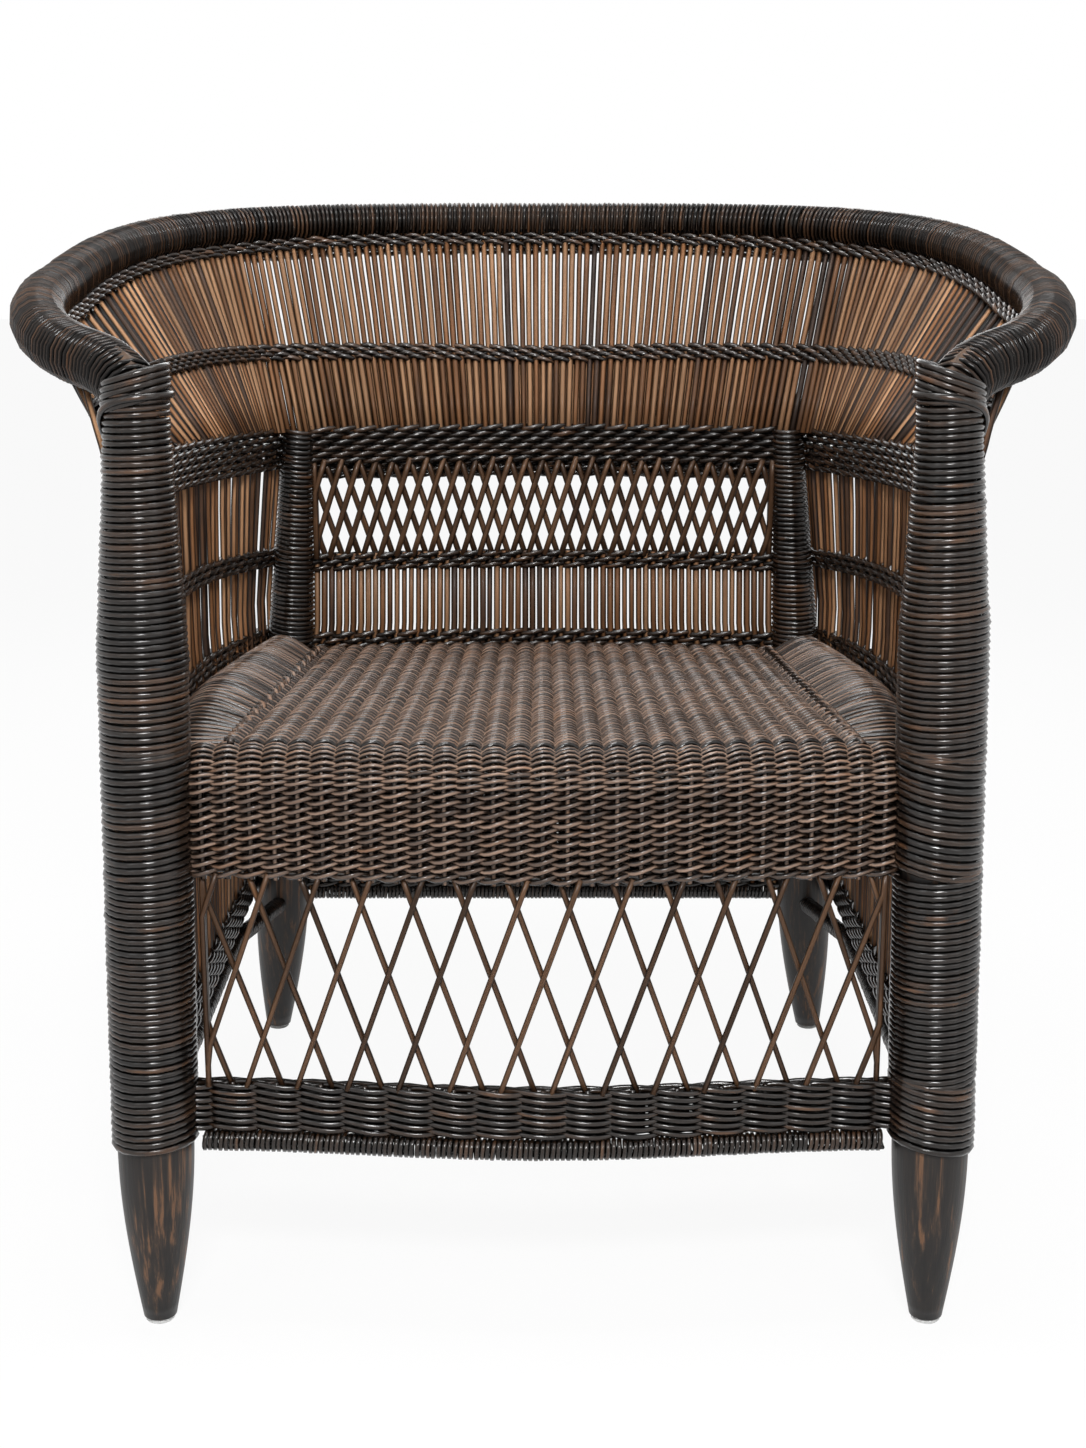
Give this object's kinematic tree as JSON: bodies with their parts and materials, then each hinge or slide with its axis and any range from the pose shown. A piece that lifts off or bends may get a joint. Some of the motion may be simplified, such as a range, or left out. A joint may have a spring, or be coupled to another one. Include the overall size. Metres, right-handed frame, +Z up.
{
  "type": "wicker armchair",
  "caption": "Cane tub armchair with wound posts, a wrapped rim bent from arm to arm, flared open stake walls, diamond lattice panels and a woven seat.",
  "frame": {"origin": "on the floor under the middle of the chair's box", "axes": "+Z up, -Y the way the seat faces, +X to the right of a person looking at the chair's front; left and right in the node names are that person's"},
  "size_m": [0.752, 0.6783, 0.7653],
  "materials": {
    "espresso_cane": "satin lacquered cane, almost black",
    "stake_cane": "worn orange-brown cane",
    "lattice_cane": "stained mid-brown cane",
    "seat_cane": "worn grey-brown cane",
    "leg_wood": "dark stained turned wood",
    "hidden_cane": "plain cane pole",
    "glide_plastic": "white moulded"
  },
  "bodies": {
    "root": {"apron_lattice": "lattice_cane", "back_lattice": "lattice_cane", "back_stakes": "stake_cane", "flare_cord": "espresso_cane", "flare_stakes_back": "stake_cane", "flare_stakes_back_left": "stake_cane", "flare_stakes_back_right": "stake_cane", "flare_stakes_left": "stake_cane", "flare_stakes_right": "stake_cane", "foot_glide_front_left": "glide_plastic", "foot_glide_front_right": "glide_plastic", "foot_glide_rear_left": "glide_plastic", "foot_glide_rear_right": "glide_plastic", "front_pole_left": "leg_wood", "front_pole_right": "leg_wood", "lower_collar_left": "espresso_cane", "lower_collar_right": "espresso_cane", "lower_front_band": "espresso_cane", "lower_post_wrap_left": "espresso_cane", "lower_post_wrap_right": "espresso_cane", "lower_rail_front": "hidden_cane", "lower_rail_left": "hidden_cane", "lower_rail_rear": "hidden_cane", "lower_rail_right": "hidden_cane", "post_binding_left": "espresso_cane", "post_binding_right": "espresso_cane", "rear_pole_left": "leg_wood", "rear_pole_right": "leg_wood", "rear_post_wrap_left": "espresso_cane", "rear_post_wrap_right": "espresso_cane", "rim_core": "hidden_cane", "rim_wrap_back": "espresso_cane", "rim_wrap_left": "espresso_cane", "rim_wrap_right": "espresso_cane", "seat_collar_left": "espresso_cane", "seat_collar_right": "espresso_cane", "seat_cord_back": "espresso_cane", "seat_cord_left": "espresso_cane", "seat_cord_right": "espresso_cane", "seat_front_band": "espresso_cane", "seat_rail_front": "hidden_cane", "seat_rail_left": "hidden_cane", "seat_rail_rear": "hidden_cane", "seat_rail_right": "hidden_cane", "seat_roll_left": "seat_cane", "seat_roll_right": "seat_cane", "seat_weave": "seat_cane", "side_cord_left": "espresso_cane", "side_cord_right": "espresso_cane", "side_stakes_left": "stake_cane", "side_stakes_right": "stake_cane", "upper_post_wrap_left": "espresso_cane", "upper_post_wrap_right": "espresso_cane", "waist_band_back": "espresso_cane", "waist_band_left": "espresso_cane", "waist_band_right": "espresso_cane"}
  },
  "joints": []
}
